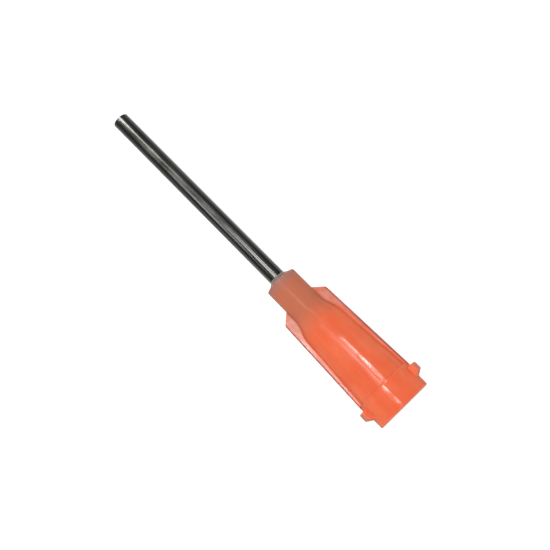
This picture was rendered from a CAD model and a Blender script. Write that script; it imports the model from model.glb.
"""Looks of the luer-lock dispensing tip: camera, light, floor, and the materials of its three pieces.

The frame is the CAD frame, in metres: the origin is the centre of the hub's open mouth, +X runs along the
needle to its outlet, +Z is up, and the wings point along +Y and -Y.
"""

import math

import bmesh
import bpy
from mathutils import Matrix, Vector, noise


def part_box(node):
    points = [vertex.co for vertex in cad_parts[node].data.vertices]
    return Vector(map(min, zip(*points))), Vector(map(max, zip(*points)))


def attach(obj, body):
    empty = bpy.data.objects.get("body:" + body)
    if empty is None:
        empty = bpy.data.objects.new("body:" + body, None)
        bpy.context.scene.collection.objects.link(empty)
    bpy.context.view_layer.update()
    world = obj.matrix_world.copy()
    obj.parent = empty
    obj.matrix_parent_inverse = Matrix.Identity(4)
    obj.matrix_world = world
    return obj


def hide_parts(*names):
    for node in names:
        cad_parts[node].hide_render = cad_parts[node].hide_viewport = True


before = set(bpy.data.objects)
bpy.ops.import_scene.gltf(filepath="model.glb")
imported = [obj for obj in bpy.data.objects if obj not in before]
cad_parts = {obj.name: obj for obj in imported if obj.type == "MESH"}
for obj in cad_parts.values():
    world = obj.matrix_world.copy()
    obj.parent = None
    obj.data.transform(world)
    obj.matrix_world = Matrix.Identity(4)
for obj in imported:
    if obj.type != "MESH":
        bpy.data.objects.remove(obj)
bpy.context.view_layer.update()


# ---------------------------------------------------------------- sizes

MM = 0.001
hub_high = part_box("luer_hub")[1]
cannula_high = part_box("cannula")[1]
bead_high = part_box("adhesive_bead")[1]

HUB_END = hub_high.x
COLLAR_RADIUS = hub_high.z
CANNULA_END = cannula_high.x
CANNULA_RADIUS = cannula_high.z
BEAD_CROWN = bead_high.x

# the hub's outline: x of each change, and the radius there
BARREL_START = 3.1 * MM
NECK_START = HUB_END - 4.6 * MM
SHOULDER_START = NECK_START - 1.6 * MM
BARREL_START_RADIUS = 3.05 * MM
BARREL_END_RADIUS = 2.5 * MM
NECK_RADIUS = 1.84 * MM

# a wing's plate, and its outer edge: a straight line from its foot on the collar to its top beside the neck
WING_HALF = 0.45 * MM
WING_FOOT = 2.05 * MM
WING_TOP = 14.05 * MM
WING_FOOT_REACH = COLLAR_RADIUS + 0.16 * MM
WING_TOP_REACH = 2.95 * MM

# the stretch of x where the collar's colours give way to the barrel's
COLLAR_FADE = (2.6 * MM, 3.0 * MM)

# The photograph's camera: straight above the hub's mouth, tipped towards the needle, and rolled.
CAMERA_PLACE = (0, -0.05 * MM, 92 * MM)
CAMERA_TIP = math.radians(11.60)
CAMERA_ROLL = math.radians(44.8)
CAMERA_LENS = 58.9
CAMERA_SENSOR = 36


# ---------------------------------------------------------------- node helpers


class Nodes:
    """Short calls that add nodes to a node tree and give back their output."""

    def __init__(self, tree):
        self.tree = tree

    def put(self, socket, value):
        """Link the value to the socket if it is another node's output, or else set it."""
        if isinstance(value, bpy.types.NodeSocket):
            self.tree.links.new(value, socket)
        else:
            socket.default_value = value

    def node(self, kind, inputs=None, **settings):
        """A new node of that kind, with those settings, and each input linked or set."""
        made = self.tree.nodes.new(kind)
        for name, value in settings.items():
            setattr(made, name, value)
        for socket, value in (inputs or {}).items():
            self.put(made.inputs[socket], value)
        return made

    def split(self, vector):
        """A vector's X, Y and Z."""
        return self.node("ShaderNodeSeparateXYZ", {0: vector}).outputs

    def math(self, operation, first, second=0.0):
        return self.node("ShaderNodeMath", {0: first, 1: second}, operation=operation).outputs[0]

    def product(self, first, second):
        return self.math("MULTIPLY", first, second)

    def absolute(self, value):
        return self.math("ABSOLUTE", value)

    def ramp(self, value, low, high, to_low=0.0, to_high=1.0, kind="SMOOTHSTEP"):
        """value's range from low to high turned smoothly into to_low to to_high, and held beyond it."""
        limits = {"From Min": low, "From Max": high, "To Min": to_low, "To Max": to_high}
        made = self.node("ShaderNodeMapRange", {"Value": value, **limits}, interpolation_type=kind)
        return made.outputs["Result"]

    def line(self, value, low, high, to_low, to_high):
        """The same in a straight line."""
        return self.ramp(value, low, high, to_low, to_high, "LINEAR")

    def blend(self, share, first, second):
        """The colour first where share is 0, second where it is 1."""
        made = self.node("ShaderNodeMix", {0: share, 6: first, 7: second}, data_type="RGBA")
        return made.outputs[2]


class Shader(Nodes):
    """A material with its Principled shader."""

    def __init__(self, name):
        self.material = bpy.data.materials.new(name)
        self.material.use_nodes = True
        super().__init__(self.material.node_tree)
        self.principled = self.tree.nodes["Principled BSDF"]

    def set(self, **sockets):
        """Set the shader's own sockets, named with underscores for spaces."""
        for name, value in sockets.items():
            self.principled.inputs[name.replace("_", " ")].default_value = value

    def feed(self, name, source):
        """Link another node's output to one of the shader's sockets."""
        self.tree.links.new(source, self.principled.inputs[name])

    def position(self):
        """Where the shaded point is, in the row frame: every piece's origin is the frame's."""
        return self.node("ShaderNodeTexCoord").outputs["Object"]

    def noise(self, waves, detail=3.0, roughness=0.5):
        """Noise of 0 to 1, with about that many waves in a metre along X, Y and Z."""
        stretched = self.node("ShaderNodeMapping", {"Vector": self.position(), "Scale": waves}).outputs[0]
        inputs = {"Vector": stretched, "Scale": 1.0, "Detail": detail, "Roughness": roughness}
        return self.node("ShaderNodeTexNoise", inputs).outputs["Fac"]

    def bump(self, height, strength, depth, after=None):
        """The normal over that height, on top of the normal of the bump before it."""
        made = self.node("ShaderNodeBump", {"Height": height, "Strength": strength, "Distance": depth})
        if after is not None:
            self.tree.links.new(after, made.inputs["Normal"])
        return made.outputs[0]


# Noise stays between these nearly everywhere, so they are the ends of most ramps over it.
NOISE_RANGE = (0.3, 0.7)


def srgb(red, green, blue):
    """An sRGB colour, 0 to 255, as the linear colour that shaders use."""
    parts = []
    for value in (red, green, blue):
        share = value / 255
        parts.append(share / 12.92 if share <= 0.04045 else ((share + 0.055) / 1.055) ** 2.4)
    return (*parts, 1.0)


# ---------------------------------------------------------------- the hub's plastic

ORANGE_DEEP = srgb(225, 106, 69)
ORANGE_LIGHT = srgb(231, 118, 81)
ORANGE_STREAK = srgb(217, 98, 63)
OVER_STEEL = srgb(185, 112, 85)
OVER_ADHESIVE = srgb(152, 122, 115)
WING = srgb(190, 104, 84)
WING_PALE = srgb(224, 138, 114)
WING_PALEST = srgb(240, 182, 164)
WING_EDGE = srgb(132, 72, 58)
LUG = srgb(194, 120, 100)
MOUTH_RIM = srgb(184, 134, 116)
PLASTIC_ROUGHNESS = (0.18, 0.26)


def orange_plastic():
    """Translucent orange polypropylene, as moulded."""
    shader = Shader("orange_polypropylene")
    place = shader.split(shader.position())
    clouds = shader.noise((250, 500, 500), detail=4)

    body = flowed_colour(shader, clouds)
    body = tint_neck(shader, place, body)
    body = tint_wings(shader, place, body)
    body = tint_collar(shader, place, body)
    shader.feed("Base Color", body)
    shader.feed("Roughness", shader.ramp(clouds, *NOISE_RANGE, *PLASTIC_ROUGHNESS))

    ripple = shader.bump(shader.noise((500, 1800, 1800), detail=2), strength=0.42, depth=0.03 * MM)
    grain = shader.noise((9000, 9000, 9000), detail=2)
    shader.feed("Normal", shader.bump(grain, strength=0.12, depth=0.01 * MM, after=ripple))
    shader.set(Subsurface_Weight=0.75, Subsurface_Radius=(1.0, 0.45, 0.28), Subsurface_Scale=1.1 * MM)
    shader.set(IOR=1.49, Specular_IOR_Level=0.2)
    return shader.material


def flowed_colour(shader, clouds):
    """Orange with faint clouds, and streaks along the way that the plastic flowed."""
    streaks = shader.ramp(shader.noise((120, 1400, 1400)), 0.45, 0.75, 0.0, 0.35)
    body = shader.blend(shader.ramp(clouds, *NOISE_RANGE), ORANGE_DEEP, ORANGE_LIGHT)
    return shader.blend(streaks, body, ORANGE_STREAK)


def tint_neck(shader, place, body):
    """Greyer towards the neck, where steel and adhesive show through the wall."""
    along = place[0]
    near_steel = shader.ramp(along, NECK_START - 2.8 * MM, NECK_START + 1.2 * MM, 0.0, 0.9)
    over_well = shader.ramp(along, HUB_END - 1.3 * MM, HUB_END - 0.1 * MM, 0.0, 0.6)
    body = shader.blend(near_steel, body, OVER_STEEL)
    return shader.blend(over_well, body, OVER_ADHESIVE)


def tint_wings(shader, place, body):
    """Paler, mottled wings where light passes through them, with darker corners along their outer edges."""
    along, across, up = place
    wings = wing_share(shader, place)
    mottle = shader.ramp(shader.noise((1500, 2600, 2600)), 0.36, 0.66)
    clear = shader.ramp(along, NECK_START - 4.4 * MM, NECK_START - 0.4 * MM, 0.0, 0.32)
    body = shader.blend(shader.product(wings, 0.8), body, WING)
    body = shader.blend(shader.product(wings, clear), body, shader.blend(mottle, WING_PALE, WING_PALEST))

    edge = shader.line(along, WING_FOOT, WING_TOP, WING_FOOT_REACH, WING_TOP_REACH)
    past_edge = shader.math("SUBTRACT", shader.absolute(across), edge)
    near_edge = shader.ramp(past_edge, -0.26 * MM, -0.1 * MM, 0.0, 0.8)
    near_face = shader.ramp(shader.absolute(up), WING_HALF - 0.21 * MM, WING_HALF - 0.07 * MM)
    return shader.blend(shader.product(near_edge, shader.product(near_face, wings)), body, WING_EDGE)


def wing_share(shader, place):
    """1 on the thin wings, 0 on the barrel and the lugs."""
    along, across, up = place
    barrel = shader.line(along, BARREL_START, SHOULDER_START, BARREL_START_RADIUS, BARREL_END_RADIUS)
    shoulder = shader.line(along, SHOULDER_START, NECK_START, 0.0, BARREL_END_RADIUS - NECK_RADIUS)
    hub_radius = shader.math("SUBTRACT", barrel, shoulder)
    outside = shader.ramp(shader.math("SUBTRACT", radius(shader, place), hub_radius), 0.02 * MM, 0.22 * MM)
    thin = shader.ramp(shader.absolute(up), WING_HALF + 0.05 * MM, WING_HALF + 0.3 * MM, 1.0, 0.0)
    past_collar = shader.ramp(along, *COLLAR_FADE)
    return shader.product(shader.product(outside, thin), past_collar)


def radius(shader, place):
    """How far the shaded point is from the axis."""
    squares = [shader.math("POWER", shader.absolute(place[axis]), 2.0) for axis in (1, 2)]
    return shader.math("SQRT", shader.math("ADD", *squares))


def tint_collar(shader, place, body):
    """The lugs and the mouth's rim stand clear, so they look paler and greyer."""
    along, across, up = place
    out_of_collar = shader.ramp(shader.absolute(across), COLLAR_RADIUS, COLLAR_RADIUS + 0.4 * MM)
    on_collar = shader.ramp(along, *COLLAR_FADE, 1.0, 0.0)
    lugs = shader.product(out_of_collar, on_collar)
    rim = shader.ramp(along, 0.05 * MM, 0.3 * MM, 0.5, 0.0)
    body = shader.blend(shader.product(lugs, 0.6), body, LUG)
    return shader.blend(rim, body, MOUTH_RIM)


# ---------------------------------------------------------------- steel, adhesive and floor

STEEL_DARK = srgb(140, 139, 135)
STEEL_LIGHT = srgb(222, 222, 218)
STEEL_ROUGHNESS = (0.13, 0.24)
ADHESIVE_DARK = srgb(152, 134, 128)
ADHESIVE_LIGHT = srgb(182, 166, 160)
ADHESIVE_ROUGHNESS = (0.08, 0.18)
FLOOR_DARK = (0.48, 0.48, 0.48, 1)
FLOOR_LIGHT = (0.5, 0.5, 0.5, 1)
FLOOR_GLOW = 0.72


def drawn_steel():
    """Stainless steel tube, drawn along its length, so its fine lines run along the axis."""
    shader = Shader("drawn_stainless_steel")
    drawn = (25, 8000, 8000)
    lines = shader.noise(drawn, detail=4, roughness=0.65)
    smudges = shader.noise((350, 900, 900))
    shader.feed("Base Color", shader.blend(shader.ramp(lines, 0.36, 0.62), STEEL_DARK, STEEL_LIGHT))
    shader.feed("Roughness", shader.ramp(smudges, *NOISE_RANGE, *STEEL_ROUGHNESS))
    grooves = shader.bump(shader.noise(drawn, detail=1), strength=0.25, depth=0.01 * MM)
    scratches = shader.noise((120, 30000, 30000), detail=0)
    shader.feed("Normal", shader.bump(scratches, strength=0.1, depth=0.003 * MM, after=grooves))
    shader.set(Metallic=1.0)
    return shader.material


def clear_adhesive():
    """Cured clear adhesive with a faint haze."""
    shader = Shader("clear_cured_adhesive")
    haze = shader.noise((1500, 1500, 1500))
    shader.feed("Base Color", shader.blend(shader.ramp(haze, 0.35, 0.7), ADHESIVE_DARK, ADHESIVE_LIGHT))
    shader.feed("Roughness", shader.ramp(haze, *NOISE_RANGE, *ADHESIVE_ROUGHNESS))
    swell = shader.noise((900, 900, 900), detail=2)
    shader.feed("Normal", shader.bump(swell, strength=0.4, depth=0.05 * MM))
    shader.set(Transmission_Weight=0.35, IOR=1.5)
    return shader.material


def floor_material():
    """Pale grey that also glows, so that the floor stays near white."""
    shader = Shader("pale_floor")
    mottle = shader.ramp(shader.noise((40, 40, 40), detail=4), *NOISE_RANGE)
    shader.feed("Base Color", shader.blend(mottle, FLOOR_DARK, FLOOR_LIGHT))
    shader.set(Roughness=0.9, Emission_Color=(1, 1, 1, 1), Emission_Strength=FLOOR_GLOW)
    return shader.material


def dress(node, material):
    """Give a CAD piece its material on the object's own slot, so its mesh stays as it is."""
    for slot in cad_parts[node].material_slots:
        slot.link = "OBJECT"
        slot.material = material


# ---------------------------------------------------------------- the bead

# the mesh: sections round the axis, and steps up each section's fillet
BEAD_TURNS = 128
BEAD_STEPS = 26

# how far the bead goes into the cannula's surface, and how far its fillet starts above the neck's end face
BEAD_TUCK = 0.02 * MM
BEAD_GAP = 0.004 * MM

# the fillet: the radius of its foot, how hollow it is, and how unevenly it climbs, spreads and swells
BEAD_FOOT_REACH = NECK_RADIUS - 0.13 * MM
BEAD_HOLLOW = 1.75
BEAD_CREEP = 0.12
BEAD_FOOT_WAVER = 0.05 * MM
BEAD_SWELL = 0.012 * MM

# the part of the bead down in the neck's well: its depth, and its radius at the bottom and at the top
WELL_DEPTH = 0.3 * MM
WELL_BOTTOM_RADIUS = 1.0 * MM
WELL_TOP_RADIUS = 1.28 * MM


def wander(way, waves, start):
    """A smooth value of about -1 to 1 for each direction, which changes faster for more waves."""
    return noise.noise(way * waves + Vector(start))


def bead_profile(way):
    """The bead's section in that direction, as x and radius: out of the well, then up the hollow fillet."""
    height = (BEAD_CROWN - HUB_END) * (1 - BEAD_CREEP + BEAD_CREEP * wander(way, 1.3, (4, 0, 0)))
    foot = BEAD_FOOT_REACH - BEAD_FOOT_WAVER + BEAD_FOOT_WAVER * wander(way, 1.9, (9, 0, 0))
    inner = CANNULA_RADIUS - BEAD_TUCK
    bottom = HUB_END - WELL_DEPTH
    profile = [(bottom, inner), (bottom, WELL_BOTTOM_RADIUS), (HUB_END, WELL_TOP_RADIUS)]
    for step in range(BEAD_STEPS + 1):
        share = step / BEAD_STEPS
        fall = (1 - share) ** BEAD_HOLLOW
        swell = BEAD_SWELL * wander(way, 2.2, (share * 2, 3, 1)) * math.sin(math.pi * share)
        profile.append((HUB_END + BEAD_GAP + height * share, inner + (foot - inner) * fall + swell))
    return profile


def make_bead():
    """The adhesive's fillet between the neck's end face and the cannula, uneven as it wetted and cured."""
    shape = bmesh.new()
    rings = []
    for turn in range(BEAD_TURNS):
        angle = 2 * math.pi * turn / BEAD_TURNS
        way = Vector((0, math.cos(angle), math.sin(angle)))
        rings.append([shape.verts.new((x, *(way * out).yz)) for x, out in bead_profile(way)])
    for ring, after in zip(rings, rings[1:] + rings[:1]):
        count = len(ring)
        for here in range(count):
            there = (here + 1) % count
            face = shape.faces.new((ring[here], ring[there], after[there], after[here]))
            face.smooth = True
    bmesh.ops.recalc_face_normals(shape, faces=shape.faces)
    bead = placed("bead", as_mesh("bead", shape, clear_adhesive()))
    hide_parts("adhesive_bead")
    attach(bead, "root")


def as_mesh(name, shape, material):
    """The bmesh as a mesh with that material."""
    mesh = bpy.data.meshes.new(name)
    shape.to_mesh(mesh)
    shape.free()
    mesh.materials.append(material)
    return mesh


def placed(name, data):
    """A new object in the scene, made of that mesh, light or camera."""
    thing = bpy.data.objects.new(name, data)
    bpy.context.scene.collection.objects.link(thing)
    return thing


# ---------------------------------------------------------------- floor, lights, world and camera

FLOOR_HALF_WIDTH = 1500 * MM

KEY_ENERGY = 2.64
KEY_SOFTNESS = math.radians(30)
KEY_TURN = (math.radians(-5), math.radians(4), 0)

# The panels that make the highlights: name, centre, size along X and Y, brightness, and the x of the point
# on the axis that the panel faces. Lengths are in mm.
NEAR = 6
FAR = 200
PANELS = (
    # small ones close above the hub, for its short highlights
    ("on_collar", (2.6, 0.42, NEAR), (0.9, 0.60), 38, 2.4),
    ("on_rim", (0.95, 0.34, NEAR), (0.6, 0.56), 22, 1),
    ("on_barrel", (6.8, -1.45, NEAR), (6.2, 0.66), 21, 5.6),
    ("on_barrel_top", (8.8, -1.2, NEAR), (2.4, 1.0), 7, 7.4),
    ("on_barrel_core", (6.3, -1.47, NEAR), (1.3, 0.30), 105, 5),
    # larger ones for the left wing's sheen and the bead's bright spot
    ("on_left_wing", (12.5, 4.9, 60), (20, 3), 76, 8),
    ("on_bead", (71, 0, 30), (14, 10), 60, 19),
    # the largest and dimmest, high above, for the bands on the steel
    ("on_needle_root", (62, 0, FAR), (26, 130), 1.4, 20),
    ("on_needle_root_core", (62, 0, FAR), (26, 46), 4.6, 20),
    ("on_needle_shoulder", (83, 0, FAR), (19, 56), 1.15, 20),
    ("on_needle_middle", (99, 0, FAR), (24, 460), 0.11, 20),
    ("on_needle_left", (106, 138, FAR), (26, 100), 0.75, 20),
    ("on_needle_line", (118, -42, FAR), (14, 60), 0.04, 20),
    ("on_needle_tip", (158, -41, FAR), (40, 56), 3.1, 20),
)
TIP_PANEL_COLOUR = (1, 1, 0.86)

# What the room looks like: to the camera, to matt surfaces, and in reflections low and high in the room. The
# low and high parts blend between the two slopes, where -1 is straight down and 1 is straight up.
BACKDROP = (0.94, 0.94, 0.94, 1)
FILL = (0.36, 0.36, 0.37, 1)
REFLECTED_LOW = 0.34
REFLECTED_HIGH = 0.035
LOW_SLOPE = -0.75
HIGH_SLOPE = 0.25


def make_floor():
    """A wide floor that the tip lies on: it touches the collar and the needle's end."""
    shape = bmesh.new()
    bmesh.ops.create_grid(shape, x_segments=8, y_segments=8, size=FLOOR_HALF_WIDTH)
    floor = placed("floor", as_mesh("floor", shape, floor_material()))
    lean = math.atan2(COLLAR_RADIUS - CANNULA_RADIUS, CANNULA_END)
    floor.matrix_world = Matrix.Translation((0, 0, -COLLAR_RADIUS)) @ Matrix.Rotation(-lean, 4, "Y")
    floor.visible_glossy = False


def axes(right, up, back):
    """The rotation whose X, Y and Z are these three directions."""
    return Matrix((right, up, back)).transposed().to_4x4()


def make_key():
    """One soft sun for the matt light. It makes no highlights: the panels do."""
    key = bpy.data.lights.new("key", "SUN")
    key.energy = KEY_ENERGY
    key.angle = KEY_SOFTNESS
    lamp = placed("key", key)
    lamp.rotation_euler = KEY_TURN
    lamp.visible_glossy = False


def make_panel(name, centre, size, brightness, faced):
    """A flat lamp, with lengths in mm, that shows only in reflections, and there with that brightness."""
    width, depth = (length * MM for length in size)
    light = bpy.data.lights.new(name, "AREA")
    light.shape = "RECTANGLE"
    light.size = width
    light.size_y = depth
    light.energy = brightness * math.pi * width * depth
    lamp = placed(name, light)
    place = Vector([length * MM for length in centre])
    back = -(Vector((faced * MM, 0, 0)) - place).normalized()
    across = Vector((0, 1, 0)).cross(back).normalized()
    lamp.matrix_world = Matrix.Translation(place) @ axes(across, back.cross(across), back)
    lamp.visible_camera = False
    lamp.visible_diffuse = False


def make_lights():
    """The key light and the panels."""
    make_key()
    for panel in PANELS:
        make_panel(*panel)
    bpy.data.lights["on_needle_tip"].color = TIP_PANEL_COLOUR


def make_world():
    """Near white to the camera, a soft fill on matt surfaces, and a dim room in reflections."""
    world = bpy.data.worlds.new("studio")
    bpy.context.scene.world = world
    world.use_nodes = True
    sky = Nodes(world.node_tree)
    ray = sky.node("ShaderNodeLightPath").outputs
    direction = sky.split(sky.node("ShaderNodeTexCoord").outputs["Generated"])
    reflected = sky.ramp(direction[2], LOW_SLOPE, HIGH_SLOPE, REFLECTED_LOW, REFLECTED_HIGH)
    room = sky.blend(ray["Is Glossy Ray"], FILL, reflected)
    background = sky.tree.nodes["Background"]
    sky.put(background.inputs["Color"], sky.blend(ray["Is Camera Ray"], room, BACKDROP))


def make_camera():
    """The photograph's camera."""
    camera = bpy.data.cameras.new("camera")
    camera.lens = CAMERA_LENS
    camera.sensor_width = CAMERA_SENSOR
    camera.clip_start = 1 * MM
    camera.clip_end = 10
    eye = placed("camera", camera)
    view = Vector((math.sin(CAMERA_TIP), 0, -math.cos(CAMERA_TIP)))
    needle = (Vector((1, 0, 0)) - view * view.x).normalized()
    up = Matrix.Rotation(-CAMERA_ROLL, 3, -view) @ needle
    eye.matrix_world = Matrix.Translation(CAMERA_PLACE) @ axes(view.cross(up), up, -view)
    bpy.context.scene.camera = eye


# ---------------------------------------------------------------- the scene

dress("luer_hub", orange_plastic())
dress("cannula", drawn_steel())
make_bead()

make_floor()
make_lights()
make_world()
make_camera()
bpy.context.scene.view_settings.view_transform = "Standard"
